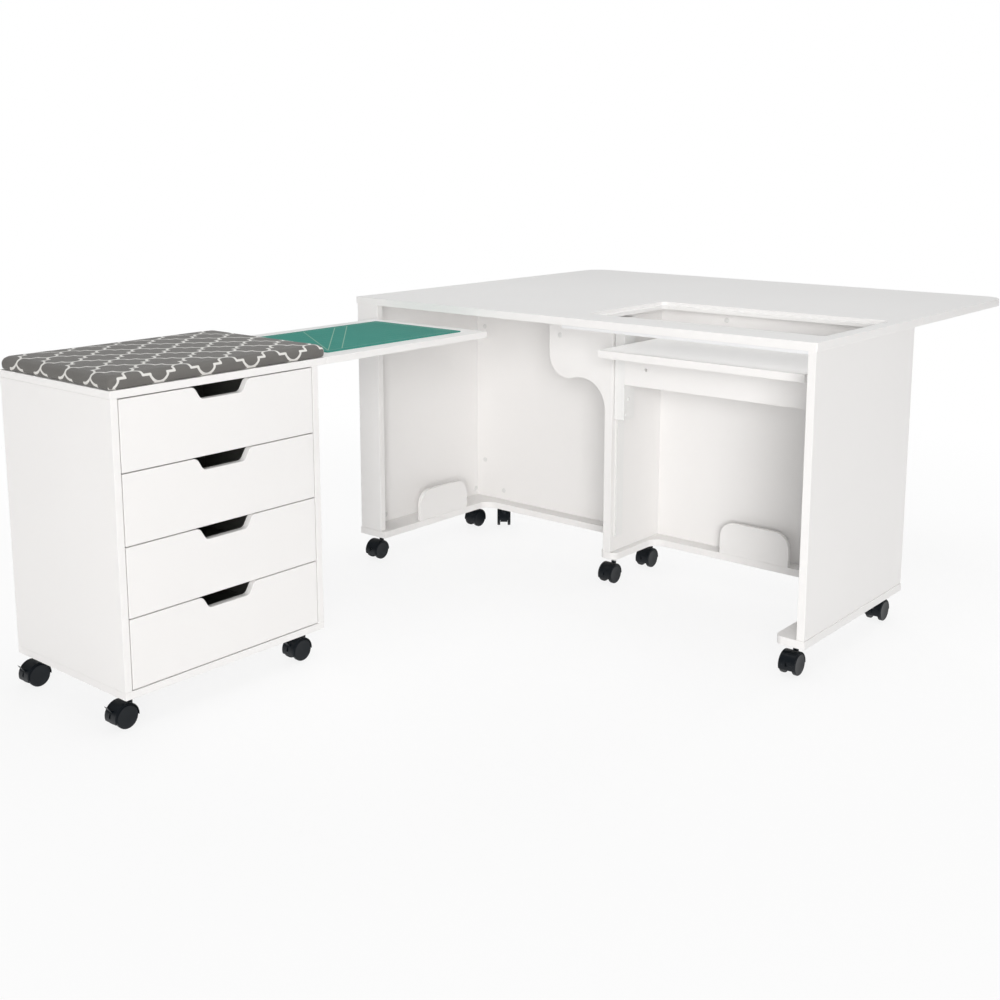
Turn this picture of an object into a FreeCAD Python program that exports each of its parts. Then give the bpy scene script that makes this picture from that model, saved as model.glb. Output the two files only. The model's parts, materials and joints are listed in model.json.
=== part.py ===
"""Folding sewing and cutting table on casters, with its rolling four-drawer caddy.

Millimetres, +Z up, X to the right and Y to the back as a person sits at the table.
The origin is on the floor, in the middle of the whole set. The table stands behind,
with its drop leaf raised at the rear. The caddy stands in front of the left bay, its
drawers facing +X and its own leaf raised towards the table.
"""
import FreeCAD
import Part
import math
import os

V = FreeCAD.Vector

# Boards
BOARD = 19.0
CADDY_BOARD = 16.0
CADDY_BACK_BOARD = 6.0
POCKET_BOARD = 12.0

# Table top and its rear drop leaf
TABLE_HEIGHT = 750.0
TOP_WIDTH = 1395.0
TOP_DEPTH = 557.0
LEAF_DEPTH = 580.0
LEAF_SEAM = 1.0
LEAF_CORNER_RADIUS = 60.0
TOP_CORNER_RADIUS = 4.0
TOP_LIP = 3.0

# Machine opening in the top, with a ledge for a filler plate
OPENING_FROM_FRONT = 103.0
OPENING_FROM_SEAM = 110.0
OPENING_FROM_RIGHT = 34.0
OPENING_FROM_DIVIDER = 30.0
OPENING_RADIUS = 14.0
LEDGE_WIDTH = 10.0
LEDGE_DROP = 9.0

# Stiffener bar under the front edge of the top, along the opening
STIFFENER_DEPTH = 20.0
STIFFENER_HEIGHT = 8.0
STIFFENER_SETBACK = 5.0

# Panels of the table
REAR_OVERHANG = 37.0
BACK_INSET = 12.0
RIGHT_BAY_WIDTH = 680.0
POST_WIDTH = 78.0

# Base rails that the panels stand on
RAIL_WIDTH = 74.0
LEFT_RAIL_WIDTH = 95.0
MIDDLE_RAIL_WIDTH = 53.0
RAIL_LIP = 1.5
RAIL_INNER_RADIUS = 34.0
RAIL_FOOT_RADIUS = 20.0

# Scalloped bracket in front of the divider, two arcs that meet smoothly
BRACKET_FROM_FRONT = 258.0
BRACKET_REACH = 210.0
BRACKET_STRIP = 24.0
BRACKET_LOBE_RADIUS = 62.0
BRACKET_COVE_RADIUS = 80.0
BRACKET_LOBE_DROP = 123.0

# Ruler pockets on the base rails
POCKET_LENGTH = 202.0
POCKET_HEIGHT = 88.0
POCKET_RADIUS = 42.0
LEFT_POCKET_FROM_FRONT = 149.0
RIGHT_POCKET_FROM_PANEL = 254.0

# Machine lift: tracks on the bay's two walls, carriages, beam and platform
TRACK_FROM_FRONT = 273.0
TRACK_WIDTH = 33.0
TRACK_DEPTH = 6.0
TRACK_DOVETAIL = 2.5
TRACK_FOOT = 43.0
TRACK_HEAD = 8.0
CARRIAGE_WALL_GAP = 2.0
CARRIAGE_WIDTH = 30.0
CARRIAGE_DEPTH = 47.0
CARRIAGE_LENGTH = 271.0
CARRIAGE_BOLT_RADIUS = 4.5
CARRIAGE_BOLT_HEAD = 3.0
CARRIAGE_BOLTS = ((-12.0, 13.0), (-4.0, 54.0))
BEAM_HEIGHT = 94.0
BEAM_HOLE_RADIUS = 4.0
BEAM_HOLE_FROM_END = 65.5
BEAM_HOLE_DROP = 48.0
PLATFORM_SIDE_GAP = 26.0
PLATFORM_FROM_FRONT = 107.0
PLATFORM_FROM_SEAM = 130.0
PLATFORM_BELOW_TOP = 90.0
SLIDE_CLEARANCE = 0.5

# Flat sides that stand for a full turn of a wheel and of a pin, bolt or knuckle
WHEEL_SIDES = 26
PIN_SIDES = 12

# Twin-wheel hooded casters
CASTER_HEIGHT = 68.0
WHEEL_RADIUS = 25.0
WHEEL_WIDTH = 9.0
WHEEL_ROUND = 1.5
WHEEL_DISH = 1.2
HUB_RADIUS = 8.0
AXLE_RADIUS = 3.0
HOOD_RADIUS = 29.0
HOOD_WALL = 2.5
HOOD_WIDTH = 40.0
HOOD_ROUND = 1.8
HOOD_WEB = 22.0
HOOD_SKIRT = 9.0
HOOD_LIP = 2.0
TRAIL = 18.0
NECK_RADIUS = 6.5
STEM_RADIUS = 5.0
STEM_LENGTH = 15.0
NECK_GAP = 0.3
PEDAL_REACH = 7.0
PEDAL_WIDTH = 12.0
PEDAL_THICKNESS = 5.0
PEDAL_TIP = 1.5
PEDAL_LIFT = 10.0
PEDAL_RISE = 13.0
SLOT_WIDTH = 5.0
SLOT_HEIGHT = 10.0
SLOT_DEPTH = 3.5
RUNNING_FIT = 0.08

# Where the table's casters stand
CASTER_FROM_FRONT = 34.0
CASTER_FROM_REAR = 34.0
MIDDLE_CASTER_FROM_FRONT = 32.0
MIDDLE_CASTER_FROM_REAR = 50.0
LEFT_CASTER_FROM_REAR = 92.0
BACK_CASTER_FROM_LEFT = 124.0
BACK_CASTER_FROM_REAR = 28.0
BACK_CASTER_TURN = 220.0
LEFT_CASTER_TURN = 180.0

# Caddy
CADDY_WIDTH = 528.0
CADDY_DEPTH = 403.0
CADDY_BELOW_TABLE = 55.0
CADDY_LIP = 27.0
CADDY_LEAF = 550.0
CADDY_FROM_LEFT = 82.0
CADDY_TO_TABLE = 5.0
CADDY_CASTER_SIDE = 32.0
CADDY_CASTER_FRONT = 38.0

# Drawers
DRAWER_COUNT = 4
DRAWER_GAP = 2.5
DRAWER_BOX_RISE = 12.0
DRAWER_BOX_DROP = 35.0
DRAWER_BACK_ROOM = 21.0
DRAWER_WALL = 12.0
DRAWER_BOTTOM = 5.0
NOTCH_TOP = 138.0
NOTCH_BOTTOM = 106.0
NOTCH_DEPTH = 27.0
NOTCH_RADIUS = 14.0
RUNNER_DEPTH = 12.5
RUNNER_HEIGHT = 18.0
RUNNER_WALL = 3.0
RUNNER_RISE = 40.0

# Pressing pad and cutting mat
PAD_HEIGHT = 31.0
PAD_INSET = 1.0
PAD_CORNER = 9.0
PAD_DRAW_IN = 2.0
PAD_TUCK = 2.0
PAD_TUCK_RISE = 6.0
PAD_ROUND = 11.0
PAD_CROWN = 3.0
PAD_CROWN_RUN = 75.0
PAD_SEAT_GAP = 0.3
MAT_THICKNESS = 2.5
MAT_FROM_FRONT = 45.0
MAT_FROM_BACK = 50.0
MAT_FROM_END = 48.0
MAT_FROM_SEAM = 45.0
MAT_CORNER = 5.0

# Butt hinges of the two leaves
HINGE_LENGTH = 60.0
HINGE_PLATE_WIDTH = 22.0
HINGE_PLATE = 2.0
KNUCKLE_RADIUS = 3.2
KNUCKLE_DROP = 3.6
HINGE_PIN_RADIUS = 1.8
HINGE_END_KNUCKLE = 18.0
KNUCKLE_GAP = 0.4
TABLE_HINGES = 4
TABLE_HINGE_FROM_END = 170.0
CADDY_HINGES = 2
CADDY_HINGE_FROM_END = 75.0

# Folding stays that carry the two leaves
STAY_BAR = 12.0
STAY_THICKNESS = 6.0
STAY_PIN_RADIUS = 3.0
STAY_EAR = 3.0
STAY_EAR_GAP = 0.4
STAY_BASE = 2.5
STAY_BASE_HEIGHT = 60.0
STAY_HEAD_GAP = 0.3
TABLE_STAY_LENGTH = 330.0
TABLE_STAY_DROP = 130.0
TABLE_STAY_OUT = 14.0
TABLE_STAY_FROM_END = 260.0
CADDY_STAY_LENGTH = 260.0
CADDY_STAY_DROP = 100.0
CADDY_STAY_OUT = 12.0
CADDY_STAY_FROM_BACK = 43.0

# Heights
UNDER_TOP = TABLE_HEIGHT - BOARD
RAIL_TOP = CASTER_HEIGHT + BOARD
CADDY_TOP_HEIGHT = TABLE_HEIGHT - CADDY_BELOW_TABLE
CADDY_UNDER_TOP = CADDY_TOP_HEIGHT - CADDY_BOARD
CADDY_FLOOR = CASTER_HEIGHT + CADDY_BOARD

# Lines across the set, from the caddy's near side to the raised rear leaf
CASTER_OUT = TRAIL + HOOD_RADIUS + PEDAL_REACH - CADDY_CASTER_SIDE
SET_LENGTH = CASTER_OUT + CADDY_WIDTH + CADDY_LIP + CADDY_LEAF + CADDY_TO_TABLE + TOP_DEPTH + LEAF_DEPTH
Y_REAR = SET_LENGTH / 2
Y_SEAM = Y_REAR - LEAF_DEPTH
Y_FRONT = Y_SEAM - TOP_DEPTH
CADDY_END = Y_FRONT - CADDY_TO_TABLE
CADDY_SEAM = CADDY_END - CADDY_LEAF
CADDY_FAR = CADDY_SEAM - CADDY_LIP
CADDY_NEAR = CADDY_FAR - CADDY_WIDTH
PANEL_FRONT = Y_FRONT + TOP_LIP
PANEL_REAR = Y_SEAM - REAR_OVERHANG
BACK_REAR = PANEL_REAR - BACK_INSET
BACK_FRONT = BACK_REAR - BOARD
BRACKET_FRONT = Y_FRONT + BRACKET_FROM_FRONT
BRACKET_REAR = BRACKET_FRONT + BOARD
TRACK_MIDDLE = Y_FRONT + TRACK_FROM_FRONT + TRACK_WIDTH / 2
RAIL_FRONT = PANEL_FRONT - RAIL_LIP
RAIL_REAR = PANEL_REAR + RAIL_LIP

# Lines along the table's width
X_RIGHT = TOP_WIDTH / 2
X_LEFT = -X_RIGHT
RIGHT_OUT = X_RIGHT - TOP_LIP
RIGHT_IN = RIGHT_OUT - BOARD
LEFT_OUT = X_LEFT + TOP_LIP
LEFT_IN = LEFT_OUT + BOARD
DIVIDER_RIGHT = RIGHT_IN - RIGHT_BAY_WIDTH
DIVIDER_LEFT = DIVIDER_RIGHT - BOARD
MIDDLE_X = (DIVIDER_LEFT + DIVIDER_RIGHT) / 2
MIDDLE_RAIL_LEFT = MIDDLE_X - MIDDLE_RAIL_WIDTH / 2
MIDDLE_RAIL_RIGHT = MIDDLE_X + MIDDLE_RAIL_WIDTH / 2
RIGHT_RAIL_OUT = RIGHT_OUT + RAIL_LIP
RIGHT_RAIL_IN = RIGHT_RAIL_OUT - RAIL_WIDTH
LEFT_RAIL_OUT = LEFT_OUT - RAIL_LIP
LEFT_RAIL_IN = LEFT_RAIL_OUT + LEFT_RAIL_WIDTH
BACK_RAIL_IN = RAIL_REAR - RAIL_WIDTH
CADDY_BACK = X_LEFT + CADDY_FROM_LEFT
CADDY_FRONT = CADDY_BACK + CADDY_DEPTH
DRAWER_FRONT_BACK = CADDY_FRONT - CADDY_BOARD
DRAWER_BOX_BACK = CADDY_BACK + CADDY_BACK_BOARD + DRAWER_BACK_ROOM


def box(x0, x1, y0, y1, z0, z1):
    """Block between two opposite corners."""
    return Part.makeBox(x1 - x0, y1 - y0, z1 - z0, V(x0, y0, z0))


def plate(outline, depth):
    """Flat board cut to a closed outline of edges and pushed through by depth."""
    return Part.Face(Part.Wire(outline)).extrude(depth)


def polygon(points):
    """Closed run of straight edges through the points."""
    ends = points[1:] + points[:1]
    return [Part.makeLine(a, b) for a, b in zip(points, ends)]


def bar(radius, start, end):
    """Pin from one point to another, its corners on the radius."""
    run = end - start
    turn = FreeCAD.Rotation(V(0, 0, 1), run)
    step = 2 * math.pi / PIN_SIDES
    spokes = [V(math.cos(step * i), math.sin(step * i), 0) * radius for i in range(PIN_SIDES)]
    ring = [start + turn.multVec(spoke) for spoke in spokes]
    return plate(polygon(ring), run)


def bore(radius, start, end):
    """Tool for a hole from one point to another, its flats on the radius."""
    return bar(radius / math.cos(math.pi / PIN_SIDES), start, end)


def turned(profile, middle):
    """Solid turned about the X axis through middle from (x, radius) points, end to end."""
    step = 2 * math.pi / WHEEL_SIDES
    rings = []
    for x, radius in profile:
        rings.append([middle + V(x, radius * math.sin(step * i), radius * math.cos(step * i))
                      for i in range(WHEEL_SIDES)])
    faces = [Part.Face(Part.Wire(polygon(ring))) for ring in (rings[0], rings[-1])]
    for here, there in zip(rings, rings[1:]):
        for i in range(WHEEL_SIDES):
            corners = [here[i - 1], here[i], there[i], there[i - 1]]
            faces.append(Part.Face(Part.Wire(polygon(corners))))
    return Part.Solid(Part.Shell(faces))


def round_edges(solid, direction, places, radius):
    """Round the straight edges that run along an axis through any of the places."""
    near = 0.01
    chosen = []
    for edge in solid.Edges:
        start, end = edge.Vertexes[0].Point, edge.Vertexes[-1].Point
        run = end - start
        straight = run.Length > near and run.cross(direction).Length < near
        if straight and any((start - place).cross(direction).Length < near for place in places):
            chosen.append(edge)
    return solid.makeFillet(radius, chosen)


def round_uprights(solid, corners, radius):
    """Round the upright edges that stand at the given (x, y) corners."""
    return round_edges(solid, V(0, 0, 1), [V(x, y, 0) for x, y in corners], radius)


def rounded_block(x0, x1, y0, y1, z0, z1, radius):
    """Block with its four upright edges rounded."""
    return round_uprights(box(x0, x1, y0, y1, z0, z1), [(x0, y0), (x1, y0), (x1, y1), (x0, y1)], radius)


def table_top():
    """Fixed top with the ledged machine opening."""
    top = box(X_LEFT, X_RIGHT, Y_FRONT, Y_SEAM, UNDER_TOP, TABLE_HEIGHT)
    top = round_uprights(top, [(X_LEFT, Y_FRONT), (X_RIGHT, Y_FRONT)], TOP_CORNER_RADIUS)
    x0 = DIVIDER_RIGHT + OPENING_FROM_DIVIDER
    x1 = X_RIGHT - OPENING_FROM_RIGHT
    y0 = Y_FRONT + OPENING_FROM_FRONT
    y1 = Y_SEAM - OPENING_FROM_SEAM
    ledge = TABLE_HEIGHT - LEDGE_DROP
    recess = rounded_block(x0, x1, y0, y1, ledge, TABLE_HEIGHT + BOARD, OPENING_RADIUS)
    hole = rounded_block(x0 + LEDGE_WIDTH, x1 - LEDGE_WIDTH, y0 + LEDGE_WIDTH, y1 - LEDGE_WIDTH,
                         UNDER_TOP - BOARD, TABLE_HEIGHT + BOARD, OPENING_RADIUS)
    return top.cut(recess).cut(hole)


def front_stiffener():
    """Metal bar under the top in front of the opening."""
    x1 = RIGHT_IN
    x0 = DIVIDER_RIGHT + BRACKET_STRIP
    y0 = Y_FRONT + STIFFENER_SETBACK
    return box(x0, x1, y0, y0 + STIFFENER_DEPTH, UNDER_TOP - STIFFENER_HEIGHT, UNDER_TOP)


def rear_leaf():
    """Drop leaf with rounded rear corners."""
    leaf = box(X_LEFT, X_RIGHT, Y_SEAM + LEAF_SEAM, Y_REAR, UNDER_TOP, TABLE_HEIGHT)
    return round_uprights(leaf, [(X_LEFT, Y_REAR), (X_RIGHT, Y_REAR)], LEAF_CORNER_RADIUS)


def scalloped_bracket():
    """Board in front of the divider that spreads under the top in a lobe and a cove."""
    right = DIVIDER_RIGHT
    strip = right - BRACKET_STRIP
    left = right - BRACKET_REACH
    lobe = V(left + BRACKET_LOBE_RADIUS, BRACKET_FRONT, UNDER_TOP - BRACKET_LOBE_DROP)
    reach = BRACKET_LOBE_RADIUS + BRACKET_COVE_RADIUS
    across = (strip - BRACKET_COVE_RADIUS) - lobe.x
    down = math.sqrt(reach ** 2 - across ** 2)
    cove = lobe + V(across, 0, -down)
    meet = lobe + (cove - lobe) * (BRACKET_LOBE_RADIUS / reach)
    slant = math.radians(225)
    lobe_mid = lobe + V(math.cos(slant), 0, math.sin(slant)) * BRACKET_LOBE_RADIUS
    cove_mid = cove + V(math.cos(slant - math.pi), 0, math.sin(slant - math.pi)) * BRACKET_COVE_RADIUS
    lobe_start = lobe - V(BRACKET_LOBE_RADIUS, 0, 0)
    cove_end = cove + V(BRACKET_COVE_RADIUS, 0, 0)
    corners = [V(strip, BRACKET_FRONT, RAIL_TOP), V(right, BRACKET_FRONT, RAIL_TOP),
               V(right, BRACKET_FRONT, UNDER_TOP), V(left, BRACKET_FRONT, UNDER_TOP)]
    outline = [Part.makeLine(cove_end, corners[0])]
    outline += [Part.makeLine(a, b) for a, b in zip(corners, corners[1:])]
    outline.append(Part.makeLine(corners[3], lobe_start))
    outline.append(Part.Arc(lobe_start, lobe_mid, meet).toShape())
    outline.append(Part.Arc(meet, cove_mid, cove_end).toShape())
    return plate(outline, V(0, BOARD, 0))


def left_base_rail():
    """L-shaped rail under the left panel and the left back panel."""
    side = box(LEFT_RAIL_OUT, LEFT_RAIL_IN, RAIL_FRONT, RAIL_REAR, CASTER_HEIGHT, RAIL_TOP)
    back = box(LEFT_RAIL_OUT, MIDDLE_RAIL_LEFT, BACK_RAIL_IN, RAIL_REAR, CASTER_HEIGHT, RAIL_TOP)
    rail = side.fuse(back).removeSplitter()
    rail = round_uprights(rail, [(LEFT_RAIL_IN, BACK_RAIL_IN)], RAIL_INNER_RADIUS)
    return bored(rail, LEFT_STEMS)


def right_base_rail():
    """U-shaped rail under the divider, the right back panel and the right panel."""
    middle_front = BRACKET_FRONT - RAIL_LIP
    middle = box(MIDDLE_RAIL_LEFT, MIDDLE_RAIL_RIGHT, middle_front, RAIL_REAR, CASTER_HEIGHT, RAIL_TOP)
    back = box(MIDDLE_RAIL_LEFT, RIGHT_RAIL_OUT, BACK_RAIL_IN, RAIL_REAR, CASTER_HEIGHT, RAIL_TOP)
    side = box(RIGHT_RAIL_IN, RIGHT_RAIL_OUT, RAIL_FRONT, RAIL_REAR, CASTER_HEIGHT, RAIL_TOP)
    rail = middle.fuse([back, side]).removeSplitter()
    inner = [(MIDDLE_RAIL_RIGHT, BACK_RAIL_IN), (RIGHT_RAIL_IN, BACK_RAIL_IN)]
    rail = round_uprights(rail, inner, RAIL_INNER_RADIUS)
    feet = [(MIDDLE_RAIL_LEFT, middle_front), (MIDDLE_RAIL_RIGHT, middle_front), (RIGHT_RAIL_IN, RAIL_FRONT)]
    rail = round_uprights(rail, feet, RAIL_FOOT_RADIUS)
    return bored(rail, MIDDLE_STEMS + RIGHT_STEMS)


def bored(board, stems):
    """Board with a socket drilled up into it for each caster stem."""
    for stem in stems:
        depth = STEM_LENGTH + RUNNING_FIT
        foot = V(stem[0], stem[1], CASTER_HEIGHT)
        board = board.cut(bore(STEM_RADIUS + RUNNING_FIT, foot, foot + V(0, 0, depth)))
    return board


def pocket_outline(start, along):
    """Low board with rounded top corners, standing on the rail at start and running along."""
    up = V(0, 0, 1)
    bend = POCKET_RADIUS * (1 - math.sqrt(0.5))
    end = start + along * POCKET_LENGTH
    rise = up * (POCKET_HEIGHT - POCKET_RADIUS)
    crown = up * POCKET_HEIGHT
    shoulder = up * (POCKET_HEIGHT - bend)
    first = [start + rise, start + along * bend + shoulder, start + along * POCKET_RADIUS + crown]
    last = [end - along * POCKET_RADIUS + crown, end - along * bend + shoulder, end + rise]
    return [Part.makeLine(start, first[0]), Part.Arc(*first).toShape(), Part.makeLine(first[2], last[0]),
            Part.Arc(*last).toShape(), Part.makeLine(last[2], end), Part.makeLine(end, start)]


def ruler_pockets():
    """One low board on the left rail and one on the right bay's back rail."""
    left_start = V(LEFT_RAIL_IN, PANEL_FRONT + LEFT_POCKET_FROM_FRONT, RAIL_TOP)
    left = plate(pocket_outline(left_start, V(0, 1, 0)), V(-POCKET_BOARD, 0, 0))
    right_start = V(RIGHT_IN - RIGHT_POCKET_FROM_PANEL, BACK_RAIL_IN, RAIL_TOP)
    right = plate(pocket_outline(right_start, V(-1, 0, 0)), V(0, POCKET_BOARD, 0))
    return [left, right]


def track_half(depth):
    """Half a track's width at a depth from its wall, widest at the face towards the bay."""
    return TRACK_WIDTH / 2 - TRACK_DOVETAIL * (1 - depth / TRACK_DEPTH)


def lift_track(wall, side):
    """Dovetail bar on a bay wall. side is +1 where the bay lies to the right of the wall."""
    z0 = RAIL_TOP + TRACK_FOOT
    z1 = UNDER_TOP - TRACK_HEAD
    face = wall + side * TRACK_DEPTH
    foot, lip = track_half(0), track_half(TRACK_DEPTH)
    points = [V(wall, TRACK_MIDDLE - foot, z0), V(face, TRACK_MIDDLE - lip, z0),
              V(face, TRACK_MIDDLE + lip, z0), V(wall, TRACK_MIDDLE + foot, z0)]
    return plate(polygon(points), V(0, 0, z1 - z0))


def lift_carriage(wall, side):
    """Block that wraps round a track's dovetail, with two bolt heads on its face."""
    z1 = UNDER_TOP - TRACK_HEAD
    z0 = z1 - CARRIAGE_LENGTH
    y = TRACK_MIDDLE
    half = CARRIAGE_DEPTH / 2
    depth = TRACK_DEPTH + SLIDE_CLEARANCE
    mouth = track_half(CARRIAGE_WALL_GAP) + SLIDE_CLEARANCE
    room = track_half(depth) + SLIDE_CLEARANCE
    near = wall + side * CARRIAGE_WALL_GAP
    inside = wall + side * depth
    face = near + side * CARRIAGE_WIDTH
    points = [V(near, y - half, z0), V(face, y - half, z0), V(face, y + half, z0), V(near, y + half, z0),
              V(near, y + mouth, z0), V(inside, y + room, z0),
              V(inside, y - room, z0), V(near, y - mouth, z0)]
    block = plate(polygon(points), V(0, 0, z1 - z0))
    for along, rise in CARRIAGE_BOLTS:
        seat = V(face, y + along, z0 + rise)
        block = block.fuse(bar(CARRIAGE_BOLT_RADIUS, seat, seat + V(side * CARRIAGE_BOLT_HEAD, 0, 0)))
    return block.removeSplitter()


def carriage_faces():
    """Inner faces of the left and right carriages."""
    out = CARRIAGE_WALL_GAP + CARRIAGE_WIDTH
    return DIVIDER_RIGHT + out, RIGHT_IN - out


def lift_beam():
    """Cross beam between the carriages, with a bolt hole near each end."""
    left, right = carriage_faces()
    y0 = TRACK_MIDDLE - CARRIAGE_DEPTH / 2
    z1 = TABLE_HEIGHT - PLATFORM_BELOW_TOP - BOARD
    beam = box(left, right, y0, y0 + BOARD, z1 - BEAM_HEIGHT, z1)
    for x in (left + BEAM_HOLE_FROM_END, right - BEAM_HOLE_FROM_END):
        hole = V(x, y0, z1 - BEAM_HOLE_DROP)
        beam = beam.cut(bore(BEAM_HOLE_RADIUS, hole, hole + V(0, BOARD, 0)))
    return beam


def lift_platform():
    """Board that the machine stands on."""
    left, right = carriage_faces()
    z1 = TABLE_HEIGHT - PLATFORM_BELOW_TOP
    return box(left + PLATFORM_SIDE_GAP, right - PLATFORM_SIDE_GAP,
               Y_FRONT + PLATFORM_FROM_FRONT, Y_SEAM - PLATFORM_FROM_SEAM, z1 - BOARD, z1)


def caster_hood(with_pedal):
    """Fender, web, neck and stem of a caster. The stem is on the Z axis and the axle trails to -Y."""
    axle = V(0, -TRAIL, WHEEL_RADIUS)
    half = HOOD_WIDTH / 2
    inside = HOOD_RADIUS - HOOD_WALL
    end_radius = HOOD_RADIUS - HOOD_ROUND
    hood = turned([(-half, end_radius), (HOOD_ROUND - half, HOOD_RADIUS),
                   (half - HOOD_ROUND, HOOD_RADIUS), (half, end_radius)], axle)
    hood = hood.fuse(bar(NECK_RADIUS, V(0, 0, WHEEL_RADIUS), V(0, 0, CASTER_HEIGHT - NECK_GAP)))
    web = HOOD_WEB / 2
    for x0, x1 in ((-HOOD_WIDTH, -web), (web, HOOD_WIDTH)):
        hood = hood.cut(turned([(x0, inside), (x1, inside)], axle))
    behind, ahead = -TRAIL - 2 * HOOD_RADIUS, -TRAIL + 2 * HOOD_RADIUS
    below = WHEEL_RADIUS - 2 * HOOD_RADIUS
    skirt = box(-HOOD_WIDTH, HOOD_WIDTH, behind, ahead, below, WHEEL_RADIUS - HOOD_SKIRT)
    lip = box(-HOOD_WIDTH, HOOD_WIDTH, -TRAIL + inside - HOOD_WALL, ahead, below, WHEEL_RADIUS - HOOD_LIP)
    across = V(half, 0, 0)
    slot = box(-SLOT_WIDTH / 2, SLOT_WIDTH / 2, behind, -TRAIL - HOOD_RADIUS + SLOT_DEPTH,
               WHEEL_RADIUS, WHEEL_RADIUS + SLOT_HEIGHT)
    hood = hood.cut([skirt, lip, slot, bore(AXLE_RADIUS + RUNNING_FIT, axle - across, axle + across)])
    hood = hood.fuse(bar(STEM_RADIUS, V(0, 0, WHEEL_RADIUS + inside), V(0, 0, CASTER_HEIGHT + STEM_LENGTH)))
    if not with_pedal:
        return hood.removeSplitter()
    low = WHEEL_RADIUS + PEDAL_RISE
    high = low + PEDAL_THICKNESS
    face = -TRAIL - math.sqrt(HOOD_RADIUS ** 2 - PEDAL_RISE ** 2)
    x = PEDAL_WIDTH / 2
    tip = -TRAIL - HOOD_RADIUS - PEDAL_REACH
    profile = [V(-x, -TRAIL, low), V(-x, face, low), V(-x, tip, high + PEDAL_LIFT - PEDAL_TIP),
               V(-x, tip, high + PEDAL_LIFT), V(-x, face, high), V(-x, -TRAIL, high)]
    pedal = plate(polygon(profile), V(PEDAL_WIDTH, 0, 0))
    room = turned([(-HOOD_WIDTH, inside), (HOOD_WIDTH, inside)], axle)
    return hood.fuse(pedal.cut(room)).removeSplitter()


def caster_wheels():
    """Two dished wheels on one axle, turned from a single profile."""
    inner = HOOD_WEB / 2 + SLIDE_CLEARANCE
    outer = inner + WHEEL_WIDTH
    half = [(inner, AXLE_RADIUS), (inner, WHEEL_RADIUS), (outer - WHEEL_ROUND, WHEEL_RADIUS),
            (outer, WHEEL_RADIUS - WHEEL_ROUND), (outer - WHEEL_DISH, HUB_RADIUS)]
    profile = [(-x, radius) for x, radius in reversed(half)] + half
    return turned(profile, V(0, -TRAIL, WHEEL_RADIUS))


def at_stem(solid, stem):
    """Copy of a caster piece turned and set under its stem's place (x, y, turn)."""
    placed = solid.copy()
    placed.rotate(V(0, 0, 0), V(0, 0, 1), stem[2])
    placed.translate(V(stem[0], stem[1], 0))
    return placed


def caddy_side_panels():
    """The caddy's two sides, standing on its base."""
    sides = []
    for y in (CADDY_NEAR, CADDY_FAR - CADDY_BOARD):
        sides.append(box(CADDY_BACK, CADDY_FRONT, y, y + CADDY_BOARD, CADDY_FLOOR, CADDY_UNDER_TOP))
    return sides


def caddy_back_panel():
    """Thin back let in between the sides."""
    return box(CADDY_BACK, CADDY_BACK + CADDY_BACK_BOARD, CADDY_NEAR + CADDY_BOARD, CADDY_FAR - CADDY_BOARD,
               CADDY_FLOOR, CADDY_UNDER_TOP)


def caddy_base():
    """Base board with the four caster sockets."""
    board = box(CADDY_BACK, CADDY_FRONT, CADDY_NEAR, CADDY_FAR, CASTER_HEIGHT, CADDY_FLOOR)
    return bored(board, CADDY_STEMS)


def caddy_top():
    """Top board, which reaches past the far side to the leaf's hinges."""
    return box(CADDY_BACK, CADDY_FRONT, CADDY_NEAR, CADDY_SEAM, CADDY_UNDER_TOP, CADDY_TOP_HEIGHT)


def caddy_leaf():
    """The caddy's drop leaf."""
    return box(CADDY_BACK, CADDY_FRONT, CADDY_SEAM + LEAF_SEAM, CADDY_END, CADDY_UNDER_TOP, CADDY_TOP_HEIGHT)


def cutting_mat():
    """Self-healing mat laid on the caddy's leaf."""
    return rounded_block(CADDY_BACK + MAT_FROM_BACK, CADDY_FRONT - MAT_FROM_FRONT,
                         CADDY_SEAM + MAT_FROM_SEAM, CADDY_END - MAT_FROM_END,
                         CADDY_TOP_HEIGHT, CADDY_TOP_HEIGHT + MAT_THICKNESS, MAT_CORNER)


def pad_ring(inset, z):
    """Closed ring of the pad at one height: four drawn-in sides and four round corners."""
    x0, x1 = CADDY_BACK + inset, CADDY_FRONT - inset
    y0, y1 = CADDY_NEAR + inset, CADDY_SEAM - inset
    c = PAD_CORNER
    k = c * (1 - math.sqrt(0.5))
    d = PAD_DRAW_IN
    xm, ym = (x0 + x1) / 2, (y0 + y1) / 2
    arcs = [((x0 + c, y0), (xm, y0 + d), (x1 - c, y0)), ((x1 - c, y0), (x1 - k, y0 + k), (x1, y0 + c)),
            ((x1, y0 + c), (x1 - d, ym), (x1, y1 - c)), ((x1, y1 - c), (x1 - k, y1 - k), (x1 - c, y1)),
            ((x1 - c, y1), (xm, y1 - d), (x0 + c, y1)), ((x0 + c, y1), (x0 + k, y1 - k), (x0, y1 - c)),
            ((x0, y1 - c), (x0 + d, ym), (x0, y0 + c)), ((x0, y0 + c), (x0 + k, y0 + k), (x0 + c, y0))]
    edges = [Part.Arc(*[V(x, y, z) for x, y in arc]).toShape() for arc in arcs]
    return Part.Wire(edges)


def pressing_pad():
    """Padded pressing surface with rounded edges and a low crown."""
    foot = CADDY_TOP_HEIGHT + PAD_SEAT_GAP
    shoulder = PAD_HEIGHT - PAD_CROWN
    bend = PAD_ROUND * (1 - math.sqrt(0.5))
    shape = [(PAD_TUCK, 0), (0, PAD_TUCK_RISE), (0, shoulder - PAD_ROUND), (bend, shoulder - bend),
             (PAD_ROUND, shoulder), (PAD_CROWN_RUN, PAD_HEIGHT)]
    rings = [pad_ring(PAD_INSET + inset, foot + rise) for inset, rise in shape]
    return Part.makeLoft(rings, True, True)


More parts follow.
